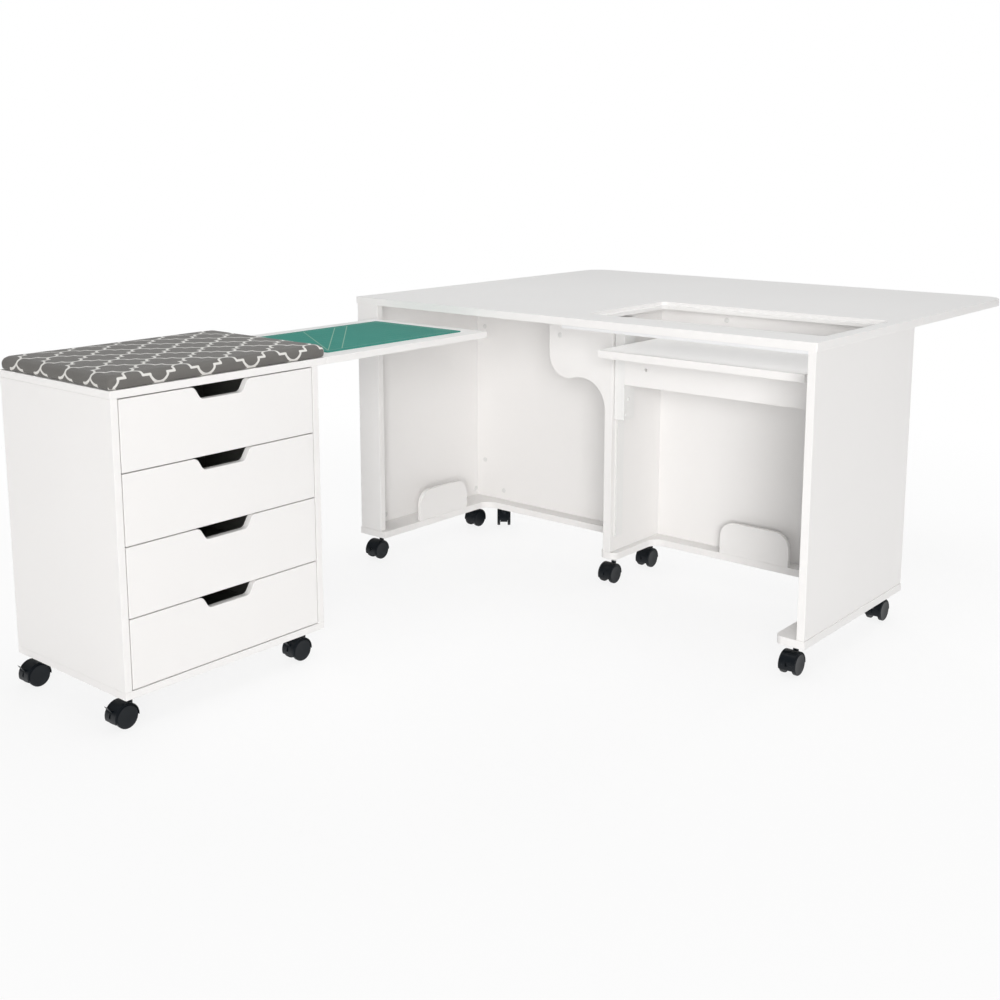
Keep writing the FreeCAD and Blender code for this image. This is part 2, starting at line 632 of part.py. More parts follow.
def drawer_zone(number):
    """Lowest and highest edge of a drawer's front, counted from the top drawer."""
    pitch = (CADDY_UNDER_TOP - CADDY_FLOOR - DRAWER_GAP) / DRAWER_COUNT
    high = CADDY_UNDER_TOP - DRAWER_GAP - pitch * (number - 1)
    return high - pitch + DRAWER_GAP, high


def drawer_front(number):
    """Inset front with a hand cut-out in its upper edge, rounded at its shoulders and its floor."""
    z0, z1 = drawer_zone(number)
    y0 = CADDY_NEAR + CADDY_BOARD + DRAWER_GAP
    y1 = CADDY_FAR - CADDY_BOARD - DRAWER_GAP
    back = DRAWER_FRONT_BACK
    middle = (y0 + y1) / 2
    floor = z1 - NOTCH_DEPTH
    notch = [V(back, middle - NOTCH_TOP / 2, z1), V(back, middle - NOTCH_BOTTOM / 2, floor),
             V(back, middle + NOTCH_BOTTOM / 2, floor), V(back, middle + NOTCH_TOP / 2, z1)]
    outline = polygon([V(back, y0, z0), V(back, y0, z1)] + notch + [V(back, y1, z1), V(back, y1, z0)])
    front = plate(outline, V(CADDY_BOARD, 0, 0))
    return round_edges(front, V(1, 0, 0), notch, NOTCH_RADIUS)


def drawer_box(number):
    """Sides, back and bottom of a drawer, with a running strip along each side."""
    low_edge, high_edge = drawer_zone(number)
    z0 = low_edge + DRAWER_BOX_RISE
    z1 = high_edge - DRAWER_BOX_DROP
    x0, x1 = DRAWER_BOX_BACK, DRAWER_FRONT_BACK
    y0 = CADDY_NEAR + CADDY_BOARD + RUNNER_DEPTH + SLIDE_CLEARANCE
    y1 = CADDY_FAR - CADDY_BOARD - RUNNER_DEPTH - SLIDE_CLEARANCE
    case = box(x0, x1, y0, y1, z0, z1)
    room = box(x0 + DRAWER_WALL, x1, y0 + DRAWER_WALL, y1 - DRAWER_WALL, z0 + DRAWER_BOTTOM, z1)
    case = case.cut(room)
    tongue = RUNNER_DEPTH - RUNNER_WALL
    low = z0 + RUNNER_RISE + RUNNER_WALL + SLIDE_CLEARANCE
    high = z0 + RUNNER_RISE + RUNNER_HEIGHT - RUNNER_WALL - SLIDE_CLEARANCE
    strips = [box(x0, x1, y0 - tongue, y0, low, high), box(x0, x1, y1, y1 + tongue, low, high)]
    return case.fuse(strips).removeSplitter()


def drawer_runners():
    """Channels on the caddy's sides that the drawers' strips run in."""
    rails = []
    x0, x1 = DRAWER_BOX_BACK, DRAWER_FRONT_BACK
    walls = ((CADDY_NEAR + CADDY_BOARD, 1), (CADDY_FAR - CADDY_BOARD, -1))
    for number in range(1, DRAWER_COUNT + 1):
        z0 = drawer_zone(number)[0] + DRAWER_BOX_RISE + RUNNER_RISE
        z1 = z0 + RUNNER_HEIGHT
        for wall, side in walls:
            web = wall + side * RUNNER_WALL
            lip = wall + side * RUNNER_DEPTH
            low, high = z0 + RUNNER_WALL, z1 - RUNNER_WALL
            points = [V(x0, wall, z0), V(x0, lip, z0), V(x0, lip, low), V(x0, web, low),
                      V(x0, web, high), V(x0, lip, high), V(x0, lip, z1), V(x0, wall, z1)]
            rails.append(plate(polygon(points), V(x1 - x0, 0, 0)))
    return rails


def hinge_axis(seam, under):
    """Middle of a leaf's knuckles, as (y, z)."""
    return seam + LEAF_SEAM / 2, under - KNUCKLE_DROP


def hinge_places(x0, x1, count, from_end):
    """Middles of the hinges spread evenly along a seam."""
    step = (x1 - x0 - 2 * from_end) / (count - 1)
    return [x0 + from_end + step * i for i in range(count)]


def fixed_hinge_half(x, seam, under):
    """Plate under the fixed board with two end knuckles and the pin between them."""
    y, z = hinge_axis(seam, under)
    x0, x1 = x - HINGE_LENGTH / 2, x + HINGE_LENGTH / 2
    flap = box(x0, x1, y - HINGE_PLATE_WIDTH, y, under - HINGE_PLATE, under)
    k0, k1 = x0 + HINGE_END_KNUCKLE, x1 - HINGE_END_KNUCKLE
    flap = flap.cut(bore(KNUCKLE_RADIUS + KNUCKLE_GAP, V(k0, y, z), V(k1, y, z)))
    ends = [bar(KNUCKLE_RADIUS, V(x0, y, z), V(k0, y, z)), bar(KNUCKLE_RADIUS, V(k1, y, z), V(x1, y, z)),
            bar(HINGE_PIN_RADIUS, V(x0, y, z), V(x1, y, z))]
    return flap.fuse(ends).removeSplitter()


def leaf_hinge_half(x, seam, under):
    """Plate under the leaf with the middle knuckle, bored for the pin."""
    y, z = hinge_axis(seam, under)
    x0, x1 = x - HINGE_LENGTH / 2, x + HINGE_LENGTH / 2
    k0 = x0 + HINGE_END_KNUCKLE + KNUCKLE_GAP
    k1 = x1 - HINGE_END_KNUCKLE - KNUCKLE_GAP
    flap = box(x0, x1, y, y + HINGE_PLATE_WIDTH, under - HINGE_PLATE, under)
    for a, b in ((x0, k0), (k1, x1)):
        flap = flap.cut(bore(KNUCKLE_RADIUS + KNUCKLE_GAP, V(a, y, z), V(b, y, z)))
    half = flap.fuse(bar(KNUCKLE_RADIUS, V(k0, y, z), V(k1, y, z))).removeSplitter()
    return half.cut(bore(HINGE_PIN_RADIUS + RUNNING_FIT, V(x0, y, z), V(x1, y, z)))


def stay_pivot(wall, out, under, drop):
    """Pivot of a leaf's stay, as (y, z): drop below the stay's head, out from the wall."""
    head = under - STAY_HEAD_GAP - STAY_BAR / 2
    return wall + out, head - drop


def stay_bracket(x, wall, out, under, drop):
    """Base plate on the wall with two ears and the pin that the stay turns on."""
    y, z = stay_pivot(wall, out, under, drop)
    inner = STAY_THICKNESS / 2 + STAY_EAR_GAP
    outer = inner + STAY_EAR
    half = STAY_BASE_HEIGHT / 2
    bracket = box(x - outer, x + outer, wall, wall + STAY_BASE, z - half, z + half)
    for side in (-1, 1):
        a, b = sorted((side * inner, side * outer))
        ear = box(x + a, x + b, wall, y, z - STAY_BAR / 2, z + STAY_BAR / 2)
        tip = bar(STAY_BAR / 2, V(x + a, y, z), V(x + b, y, z))
        bracket = bracket.fuse([ear, tip])
    return bracket.fuse(bar(STAY_PIN_RADIUS, V(x - outer, y, z), V(x + outer, y, z))).removeSplitter()


def stay_arm(x, wall, out, under, drop, length):
    """Flat bar with round ends, from the bracket's pin up to the underside of the leaf."""
    y, z = stay_pivot(wall, out, under, drop)
    run = math.sqrt(length ** 2 - drop ** 2)
    a = V(x - STAY_THICKNESS / 2, y, z)
    b = V(x - STAY_THICKNESS / 2, y + run, z + drop)
    along = (b - a).normalize() * (STAY_BAR / 2)
    side = V(0, -along.z, along.y)
    turns = [math.pi * i / (PIN_SIDES // 2) for i in range(PIN_SIDES // 2 + 1)]
    head = [b + side * math.cos(t) + along * math.sin(t) for t in turns]
    tail = [a - side * math.cos(t) - along * math.sin(t) for t in turns]
    arm = plate(polygon(head + tail), V(STAY_THICKNESS, 0, 0))
    return arm.cut(bore(STAY_PIN_RADIUS + RUNNING_FIT, a, a + V(STAY_THICKNESS, 0, 0)))


# Caster stems as (x, y, turn): the wheels trail to the front at turn 0
RIGHT_RAIL_X = (RIGHT_RAIL_IN + RIGHT_RAIL_OUT) / 2
LEFT_RAIL_X = (LEFT_RAIL_IN + LEFT_RAIL_OUT) / 2
RIGHT_STEMS = [(RIGHT_RAIL_X, PANEL_FRONT + CASTER_FROM_FRONT, 0.0),
               (RIGHT_RAIL_X, PANEL_REAR - CASTER_FROM_REAR, 0.0)]
MIDDLE_STEMS = [(MIDDLE_X, BRACKET_FRONT + MIDDLE_CASTER_FROM_FRONT, 0.0),
                (MIDDLE_X, PANEL_REAR - MIDDLE_CASTER_FROM_REAR, 0.0)]
LEFT_STEMS = [(LEFT_RAIL_X, PANEL_FRONT + CASTER_FROM_FRONT, 0.0),
              (LEFT_RAIL_X, PANEL_REAR - LEFT_CASTER_FROM_REAR, LEFT_CASTER_TURN),
              (LEFT_OUT + BACK_CASTER_FROM_LEFT, PANEL_REAR - BACK_CASTER_FROM_REAR, BACK_CASTER_TURN)]
CADDY_STEMS = [(x, y, 0.0) for x in (CADDY_FRONT - CADDY_CASTER_FRONT, CADDY_BACK + CADDY_CASTER_FRONT)
               for y in (CADDY_NEAR + CADDY_CASTER_SIDE, CADDY_FAR - CADDY_CASTER_SIDE)]
TABLE_CASTERS = ["right_front", "right_rear", "middle_front", "middle_rear",
                 "left_front", "left_rear", "back"]
CADDY_CASTERS = ["caddy_front_near", "caddy_front_far", "caddy_back_near", "caddy_back_far"]

# Places of the leaves' hinges and stays
TABLE_HINGE_X = hinge_places(X_LEFT, X_RIGHT, TABLE_HINGES, TABLE_HINGE_FROM_END)
CADDY_HINGE_X = hinge_places(CADDY_BACK, CADDY_FRONT, CADDY_HINGES, CADDY_HINGE_FROM_END)
TABLE_STAY_X = (X_LEFT + TABLE_STAY_FROM_END, X_RIGHT - TABLE_STAY_FROM_END)
TABLE_STAY = (BACK_REAR, TABLE_STAY_OUT, UNDER_TOP, TABLE_STAY_DROP)
CADDY_STAY_X = CADDY_BACK + CADDY_STAY_FROM_BACK
CADDY_STAY = (CADDY_FAR, CADDY_STAY_OUT, CADDY_UNDER_TOP, CADDY_STAY_DROP)


def table_pieces():
    """The fixed pieces of the table."""
    stays = [stay_bracket(x, *TABLE_STAY) for x in TABLE_STAY_X]
    hinges = [fixed_hinge_half(x, Y_SEAM, UNDER_TOP) for x in TABLE_HINGE_X]
    side_front = PANEL_FRONT + BOARD
    return {
        "table_top": table_top(),
        "front_stiffener": front_stiffener(),
        "right_side_panel": box(RIGHT_IN, RIGHT_OUT, PANEL_FRONT, PANEL_REAR, RAIL_TOP, UNDER_TOP),
        "left_side_panel": box(LEFT_OUT, LEFT_IN, side_front, PANEL_REAR, RAIL_TOP, UNDER_TOP),
        "left_front_post": box(LEFT_OUT, LEFT_OUT + POST_WIDTH, PANEL_FRONT, side_front, RAIL_TOP, UNDER_TOP),
        "back_panels": [box(LEFT_IN, DIVIDER_LEFT, BACK_FRONT, BACK_REAR, RAIL_TOP, UNDER_TOP),
                        box(DIVIDER_RIGHT, RIGHT_IN, BACK_FRONT, BACK_REAR, RAIL_TOP, UNDER_TOP)],
        "divider_panel": box(DIVIDER_LEFT, DIVIDER_RIGHT, BRACKET_REAR, BACK_REAR, RAIL_TOP, UNDER_TOP),
        "scalloped_bracket": scalloped_bracket(),
        "left_base_rail": left_base_rail(),
        "right_base_rail": right_base_rail(),
        "ruler_pockets": ruler_pockets(),
        "lift_tracks": [lift_track(DIVIDER_RIGHT, 1), lift_track(RIGHT_IN, -1)],
        "rear_hinge_brackets": hinges + stays,
    }


def moving_table_pieces():
    """The machine lift, the rear leaf and its stays."""
    return {
        "lift_carriages": [lift_carriage(DIVIDER_RIGHT, 1), lift_carriage(RIGHT_IN, -1)],
        "lift_beam": lift_beam(),
        "lift_platform": lift_platform(),
        "rear_leaf": rear_leaf(),
        "rear_leaf_hinges": [leaf_hinge_half(x, Y_SEAM, UNDER_TOP) for x in TABLE_HINGE_X],
        "rear_leaf_stays": [stay_arm(x, *TABLE_STAY, TABLE_STAY_LENGTH) for x in TABLE_STAY_X],
    }


def caddy_pieces():
    """The caddy, its leaf and its drawers."""
    pieces = {
        "caddy_side_panels": caddy_side_panels(),
        "caddy_back_panel": caddy_back_panel(),
        "caddy_base": caddy_base(),
        "caddy_top": caddy_top(),
        "drawer_runners": drawer_runners(),
        "pressing_pad": pressing_pad(),
        "caddy_hinge_brackets": [fixed_hinge_half(x, CADDY_SEAM, CADDY_UNDER_TOP) for x in CADDY_HINGE_X]
        + [stay_bracket(CADDY_STAY_X, *CADDY_STAY)],
        "caddy_leaf": caddy_leaf(),
        "cutting_mat": cutting_mat(),
        "caddy_leaf_hinges": [leaf_hinge_half(x, CADDY_SEAM, CADDY_UNDER_TOP) for x in CADDY_HINGE_X],
        "caddy_leaf_stay": stay_arm(CADDY_STAY_X, *CADDY_STAY, CADDY_STAY_LENGTH),
    }
    for number in range(1, DRAWER_COUNT + 1):
        pieces[f"drawer_{number}_front"] = drawer_front(number)
        pieces[f"drawer_{number}_box"] = drawer_box(number)
    return pieces


def caster_pieces():
    """A hood and a pair of wheels for every caster."""
    pieces = {}
    wheels = caster_wheels()
    plain, braked = caster_hood(False), caster_hood(True)
    for name, stem in zip(TABLE_CASTERS, RIGHT_STEMS + MIDDLE_STEMS + LEFT_STEMS):
        pieces[f"caster_hood_{name}"] = at_stem(plain, stem)
        pieces[f"caster_wheels_{name}"] = at_stem(wheels, stem)
    for name, stem in zip(CADDY_CASTERS, CADDY_STEMS):
        pieces[f"caster_hood_{name}"] = at_stem(braked, stem)
        pieces[f"caster_wheels_{name}"] = at_stem(wheels, stem)
    return pieces


def main():
    os.makedirs("parts", exist_ok=True)
    pieces = {**table_pieces(), **moving_table_pieces(), **caddy_pieces(), **caster_pieces()}
    for name, shape in pieces.items():
        solid = Part.makeCompound(shape) if isinstance(shape, list) else shape
        solid.exportStep(f"parts/{name}.step")
    print(len(pieces), "pieces")


main()
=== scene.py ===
import json
import math

import bmesh
import bpy
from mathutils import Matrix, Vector


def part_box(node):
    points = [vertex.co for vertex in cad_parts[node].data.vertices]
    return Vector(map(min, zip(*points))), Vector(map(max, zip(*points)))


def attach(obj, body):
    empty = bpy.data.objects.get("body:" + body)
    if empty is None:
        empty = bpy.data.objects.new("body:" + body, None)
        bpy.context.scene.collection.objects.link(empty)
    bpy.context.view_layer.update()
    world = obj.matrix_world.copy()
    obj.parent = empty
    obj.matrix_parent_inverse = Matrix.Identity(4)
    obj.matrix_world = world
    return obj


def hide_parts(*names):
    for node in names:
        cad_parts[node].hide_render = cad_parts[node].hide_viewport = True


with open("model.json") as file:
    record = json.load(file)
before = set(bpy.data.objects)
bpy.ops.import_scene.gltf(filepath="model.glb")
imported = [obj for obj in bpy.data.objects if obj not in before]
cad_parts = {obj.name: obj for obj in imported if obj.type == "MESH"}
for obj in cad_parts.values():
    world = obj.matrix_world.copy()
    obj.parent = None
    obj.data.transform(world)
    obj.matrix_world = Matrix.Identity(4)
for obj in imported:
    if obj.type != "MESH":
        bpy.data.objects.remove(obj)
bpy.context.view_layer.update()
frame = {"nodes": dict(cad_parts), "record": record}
nodes = frame["nodes"]
subparts = frame["record"]["subparts"]
scene = bpy.context.scene

MM = 0.001
HARD_STEP = 0.01 * MM

# Directions in the frame
DOWN = Vector((0, 0, -1))
FRONTWARD = Vector((0, -1, 0))
BACKWARD = Vector((0, 1, 0))
RIGHTWARD = Vector((1, 0, 0))

# Edges: from which angle one is sharp, and how far the sharp ones of a slot are eased
SHARP_ANGLE = math.radians(34.0)
FLAT_ANGLE = math.radians(0.2)
SAME_CORNER = 0.01 * MM
EASED = {"white_laminate": 0.8 * MM, "caster_black": 0.7 * MM}
EASED_STEPS = 2

# Colours of boards and metal
WHITE = (0.90, 0.89, 0.88)
CAP_WHITE = (0.78, 0.78, 0.77)
# The drawer boxes' dark grey is painted shade: it darkens the inside seen through the drawer notches to
# near-black
DRAWER_SHADE_GREY = (0.26, 0.26, 0.25)
STIFFENER_GREY = (0.83, 0.835, 0.845)
TRACK_WHITE = (0.88, 0.88, 0.87)
ZINC = (0.62, 0.62, 0.61)
ZINC_GRAIN = (6.0, 40.0, 40.0)
ZINC_ROUGHNESS = 0.38

# Casters: nylon, its dust and the height where the steel stem begins
NYLON_BLACK = (0.0050, 0.0072, 0.0100)
STEM_STEEL = (0.72, 0.72, 0.71)
DUST_TINT = 0.02
DUST_SHARE = 0.5
DUST_HEIGHT = 14 * MM
DUST_FADE = 12 * MM
STEM_FOOT = 55.5 * MM

# Cutting mat: its lines are given by half their width, the guides by slope and start
INCH = 25.4 * MM
MAT_BORDER = 14 * MM
MAT_GREENS = ((0.033, 0.246, 0.198), (0.046, 0.284, 0.232))
INK = (0.50, 0.66, 0.50)
LINE_SOFT = 0.3 * MM
GRID_LINE, GRID_SOFT, GRID_INK = 0.35 * MM, 0.2 * MM, 0.16
TICK_LINE, TICK_LENGTH, TICK_INK = 0.4 * MM, 6 * MM, 0.35
BORDER_LINE, BORDER_INK = 0.6 * MM, 0.4
GUIDE_LINE, GUIDE_SOFT, GUIDE_INK = 0.9 * MM, 0.5 * MM, 0.6
GUIDES = ((1.0, 0.0), (1.0, 43 * MM), (0.616, 0.0))

# Pressing pad: its print, its weave and its swell
TRELLIS_PERIOD = 115 * MM
TRELLIS_RISE = 45 * MM
TRELLIS_ARC = 20.3 * MM
TRELLIS_LINE, TRELLIS_SOFT = 2.8 * MM, 0.5 * MM
TRELLIS_FORWARD = 0.3 * MM
PAD_GREYS = ((0.130, 0.126, 0.118), (0.172, 0.166, 0.156))
PRINT_WHITES = ((0.66, 0.65, 0.62), (0.78, 0.77, 0.74))
THREAD_PITCH = 0.7 * MM
PAD_VOXEL = 5 * MM
PAD_PRESSURE = 4.0
PAD_FRAMES = 20
PAD_SWELL = 1.8 * MM
PAD_SEAT, PAD_SEAT_POWER = 10 * MM, 1.8
PAD_BEND, PAD_LEAN = 11 * MM, 0.15

# Cover caps and screws, in mm: each ring's radius, the reach of its cross and its height
ROUND_SIDES, ARM_CORNERS = 24, 3
CAP_RINGS = ((7.0, 7.0, -0.5), (7.0, 7.0, 0.6), (6.2, 6.2, 1.1), (3.5, 3.5, 1.3))
SCREW_RINGS = ((3.4, 3.4, -0.5), (3.3, 3.3, 0.35), (2.5, 2.5, 0.7), (0.8, 1.9, 0.75), (0.7, 1.7, 0.15))

# Places of the caps: left of the top's right end or behind its front edge, and above the rail's underside
BACK_CAPS = ((1342 * MM, 553 * MM), (1342 * MM, 135 * MM), (1266 * MM, 48 * MM), (500 * MM, 641 * MM))
LEFT_CAPS = ((480 * MM, 39 * MM), (82 * MM, 41 * MM))
BRACKET_CAP = (876 * MM, 593 * MM)

# Hinges and stays that the screws hold
REAR_HINGES, CADDY_HINGES = 4, 2
HINGE_LENGTH = 60 * MM
HINGE_PLATE_WIDTH = 22 * MM
HINGE_PLATE = 2 * MM
HINGE_SCREW_STEP = 22 * MM
STAY_WIDTH = 6 * MM
STAY_PLATE = 2.5 * MM
STAY_PLATE_HEIGHT = 60 * MM
STAY_SCREW_STEP = 23 * MM

# Floor: how much of its own shading shows, how far out and how softly that ends
FLOOR_GREYS = ((0.86, 0.86, 0.86), (0.88, 0.88, 0.88))
FLOOR_SHADE = 0.15
FLOOR_SHADE_REACH, FLOOR_SHADE_FADE = 1.9, 0.9
FLOOR_SIZE = 30.0
FLOOR_DROP = 0.5 * MM

# Lamps: place, aim, width, power, colour and whether mirror reflections show it
SURROUNDINGS = 0.25
MIDDLE = (0.0, 0.0, 0.4)
LAMPS = {
    "camera_lamp": ((5.5, -7.0, 2.0), MIDDLE, 4.0, 560.0, (1.0, 0.985, 0.975), False),
    "top_lamp": ((0.2, 0.2, 4.5), (0.0, 0.0, 0.0), 3.5, 90.0, (0.985, 0.995, 1.0), True),
    "back_lamp": ((1.0, 9.2, 3.0), MIDDLE, 4.0, 230.0, (1.0, 1.0, 1.0), False),
    "rear_fill": ((-7.0, 6.0, 2.0), MIDDLE, 4.0, 330.0, (1.0, 1.0, 1.0), False),
}

# Camera, fitted to the straight edges in the photograph
CAMERA_PLACE = (1.9104, -2.4841, 1.1411)
CAMERA_DOWN, CAMERA_TURN = math.radians(9.97), math.radians(40.02)
CAMERA_SENSOR, CAMERA_LENS, CAMERA_SHIFT = 36.0, 46.42, -0.1194


class Signal:
    """One output inside a finish, so that shader sums read as plain arithmetic."""

    def __init__(self, finish, socket):
        self.finish = finish
        self.socket = socket

    def sum(self, operation, *others):
        return self.finish.make("ShaderNodeMath", {"operation": operation}, [self, *others])

    def __add__(self, other):
        return self.sum("ADD", other)

    __radd__ = __add__

    def __sub__(self, other):
        return self.sum("SUBTRACT", other)

    def __rsub__(self, other):
        return self.finish.make("ShaderNodeMath", {"operation": "SUBTRACT"}, [other, self])

    def __mul__(self, other):
        return self.sum("MULTIPLY", other)

    def __truediv__(self, other):
        return self.sum("DIVIDE", other)

    def __abs__(self):
        return self.sum("ABSOLUTE")

    def floor(self):
        return self.sum("FLOOR")

    def least(self, other):
        return self.sum("MINIMUM", other)

    def most(self, other):
        return self.sum("MAXIMUM", other)

    def across(self, other):
        """Length of the slant whose two sides these are."""
        return (self * self + other * other).sum("SQRT")

    def fold(self, period):
        """Distance to the nearest whole multiple of period."""
        return self.sum("PINGPONG", period / 2)

    def below(self, edge, soft):
        """1 where the value is under edge, 0 above, with a soft step between."""
        return self.finish.make("ShaderNodeMapRange", {"interpolation_type": "SMOOTHSTEP"},
                                [self, edge - soft, edge + soft, 1.0, 0.0])


class Finish:
    """A material built from nodes, with one shader that its signals feed."""

    def __init__(self, name):
        self.material = bpy.data.materials.new(name)
        self.material.use_nodes = True
        self.tree = self.material.node_tree
        self.shader = self.tree.nodes["Principled BSDF"]
        self.output = self.tree.nodes["Material Output"]

    def make(self, kind, settings=None, values=(), out=0):
        """New node with its settings and its inputs, in order or by key. Gives back one of its outputs."""
        node = self.tree.nodes.new(kind)
        for key, value in (settings or {}).items():
            setattr(node, key, value)
        pairs = values.items() if isinstance(values, dict) else enumerate(values)
        for key, value in pairs:
            self.put(node.inputs[key], value)
        return Signal(self, node.outputs[out])

    def put(self, socket, value):
        if isinstance(value, Signal):
            self.tree.links.new(value.socket, socket)
        elif socket.type == "RGBA" and len(value) == 3:
            socket.default_value = (*value, 1.0)
        else:
            socket.default_value = value

    def set(self, **values):
        for key, value in values.items():
            self.put(self.shader.inputs[key.replace("_", " ")], value)

    def place(self):
        """Position on the piece at rest, in metres."""
        return self.make("ShaderNodeTexCoord", out="Object")

    def axes(self, vector):
        return [self.make("ShaderNodeSeparateXYZ", None, [vector], out=i) for i in range(3)]

    def stretch(self, vector, scale):
        return self.make("ShaderNodeMapping", None, {"Vector": vector, "Scale": scale})

    def noise(self, vector, scale, detail):
        return self.make("ShaderNodeTexNoise", None, {"Vector": vector, "Scale": scale, "Detail": detail})

    def blend(self, share, first, second):
        return self.make("ShaderNodeMix", {"data_type": "RGBA"}, {0: share, 6: first, 7: second}, out=2)

    def bump(self, height, strength, distance):
        return self.make("ShaderNodeBump", None,
                         {"Strength": strength, "Distance": distance, "Height": height}, out="Normal")


def dimmed(colour, share):
    """The same colour, a little darker."""
    return tuple(c * share for c in colour)


def laminate_finish(name, colour):
    """Satin melamine on board: a faint pebbled skin and a slight drift of tone."""
    f = Finish(name)
    place = f.place()
    drift = f.noise(place, scale=3.5, detail=2.0)
    pebble = f.noise(place, scale=900.0, detail=2.0)
    f.set(Base_Color=f.blend(drift, dimmed(colour, 0.975), colour),
          Roughness=0.36 + pebble * 0.14,
          Normal=f.bump(pebble, strength=0.06, distance=0.4 * MM),
          Specular_IOR_Level=0.4)
    return f.material


def steel_finish(name, colour, grain, rough):
    """Rolled metal with a fine directional grain."""
    f = Finish(name)
    streaks = f.noise(f.stretch(f.place(), grain), scale=60.0, detail=4.0)
    f.set(Base_Color=f.blend(streaks, dimmed(colour, 0.86), colour),
          Roughness=rough - 0.06 + streaks * 0.12,
          Normal=f.bump(streaks, strength=0.08, distance=0.3 * MM),
          Metallic=1.0)
    return f.material


def enamel_finish(name, colour):
    """White powder coat on the lift's metal and the stiffener."""
    f = Finish(name)
    place = f.place()
    grit = f.noise(place, scale=1400.0, detail=2.0)
    drift = f.noise(place, scale=9.0, detail=2.0)
    f.set(Base_Color=f.blend(drift, dimmed(colour, 0.97), colour),
          Roughness=0.3 + grit * 0.15,
          Normal=f.bump(grit, strength=0.08, distance=0.3 * MM))
    return f.material


def caster_finish(name, nylon, steel):
    """Moulded black nylon with a fine sparked texture, a little dust low down and a bare steel stem."""
    f = Finish(name)
    place = f.place()
    z = f.axes(place)[2]
    spark = f.noise(place, scale=1100.0, detail=3.0)
    dust = f.noise(place, scale=70.0, detail=4.0) * z.below(DUST_HEIGHT, DUST_FADE)
    stem = 1 - z.below(STEM_FOOT, soft=0.3 * MM)
    black = f.blend(dust * DUST_SHARE, nylon, tuple(c + DUST_TINT for c in nylon))
    f.set(Base_Color=f.blend(stem, black, steel),
          Metallic=stem,
          Roughness=0.28 + spark * 0.14,
          Normal=f.bump(spark, strength=0.12, distance=0.4 * MM),
          Specular_IOR_Level=0.24)
    return f.material


def mat_finish(name, low, high):
    """Self-healing mat: fine pebble, a faint inch grid, border ticks and a few bolder slant guides."""
    f = Finish(name)
    place = f.place()
    x, y, _ = f.axes(place)
    back, along = (high.x - MAT_BORDER) - x, y - (low.y + MAT_BORDER)
    half_deep, half_wide = (high.x - low.x) / 2 - MAT_BORDER, (high.y - low.y) / 2 - MAT_BORDER
    off_back, off_along = abs(back - half_deep), abs(along - half_wide)
    inside = off_back.below(half_deep, LINE_SOFT) * off_along.below(half_wide, LINE_SOFT)
    grid = back.fold(INCH).least(along.fold(INCH)).below(GRID_LINE, GRID_SOFT)
    edge = abs(off_back - half_deep).least(abs(off_along - half_wide))
    ticks = back.fold(INCH / 4).least(along.fold(INCH / 4)).below(TICK_LINE, GRID_SOFT)
    ticks = ticks * edge.below(TICK_LENGTH, LINE_SOFT)
    border = edge.below(BORDER_LINE, LINE_SOFT) * off_back.below(half_deep + BORDER_LINE, LINE_SOFT)
    border = border * off_along.below(half_wide + BORDER_LINE, LINE_SOFT)
    guides = 0.0
    for slope, start in GUIDES:
        guide = abs(along - start - back * slope)
        guides = guide.below(GUIDE_LINE * math.hypot(1.0, slope), GUIDE_SOFT).most(guides)
    lines = (grid * GRID_INK).most(ticks * TICK_INK).most(guides * GUIDE_INK)
    ink = (lines * inside).most(border * BORDER_INK)
    pebble = f.noise(place, scale=1300.0, detail=3.0)
    drift = f.noise(place, scale=14.0, detail=3.0)
    f.set(Base_Color=f.blend(ink, f.blend(drift, *MAT_GREENS), INK),
          Roughness=0.52 + pebble * 0.2,
          Normal=f.bump(pebble, strength=0.2, distance=0.3 * MM),
          Specular_IOR_Level=0.35)
    return f.material


def trellis_cloth(name, layer, start_u, start_v):
    """Printed cotton: woven threads under a white trellis of arches joined by short risers and ledges."""
    f = Finish(name)
    flat = f.make("ShaderNodeUVMap", {"uv_map": layer})
    u, v, _ = f.axes(flat)
    u, v = u - start_u, v - start_v
    arc, quarter, foot = TRELLIS_ARC, TRELLIS_PERIOD / 4, TRELLIS_RISE / 2 - TRELLIS_ARC
    # Every other row, and the far half of each fold, is the same stroke turned over
    row = (v / TRELLIS_RISE + 0.5).floor()
    odd = row - (row / 2).floor() * 2
    run = u.fold(TRELLIS_PERIOD)
    upright = (run - quarter).below(0.0, HARD_STEP) * 2 - 1
    height = (v - row * TRELLIS_RISE) * (1 - odd * 2) * upright
    run = quarter - abs(run - quarter)
    arch = abs(run.across(height - foot) - arc) + (foot - height).most(0.0)
    riser = (run - arc).across((abs(height - foot / 2) - foot / 2).most(0.0))
    ledge = (arc - run).most(0.0).across(height)
    printed = arch.least(ledge).least(riser).below(TRELLIS_LINE, TRELLIS_SOFT)
    threads = u.fold(THREAD_PITCH).most(v.fold(THREAD_PITCH)) / (THREAD_PITCH / 2)
    slub = f.noise(f.stretch(flat, (900.0, 90.0, 1.0)), scale=1.0, detail=3.0)
    fade = f.noise(flat, scale=26.0, detail=4.0)
    ground = f.blend(fade * 0.6 + slub * 0.4, *PAD_GREYS)
    f.set(Base_Color=f.blend(printed, ground, f.blend(slub, *PRINT_WHITES)),
          Roughness=0.86 + slub * 0.1,
          Normal=f.bump(threads * 0.7 + slub * 0.3, strength=0.35, distance=0.4 * MM),
          Sheen_Weight=0.15,
          Specular_IOR_Level=0.2)
    return f.material


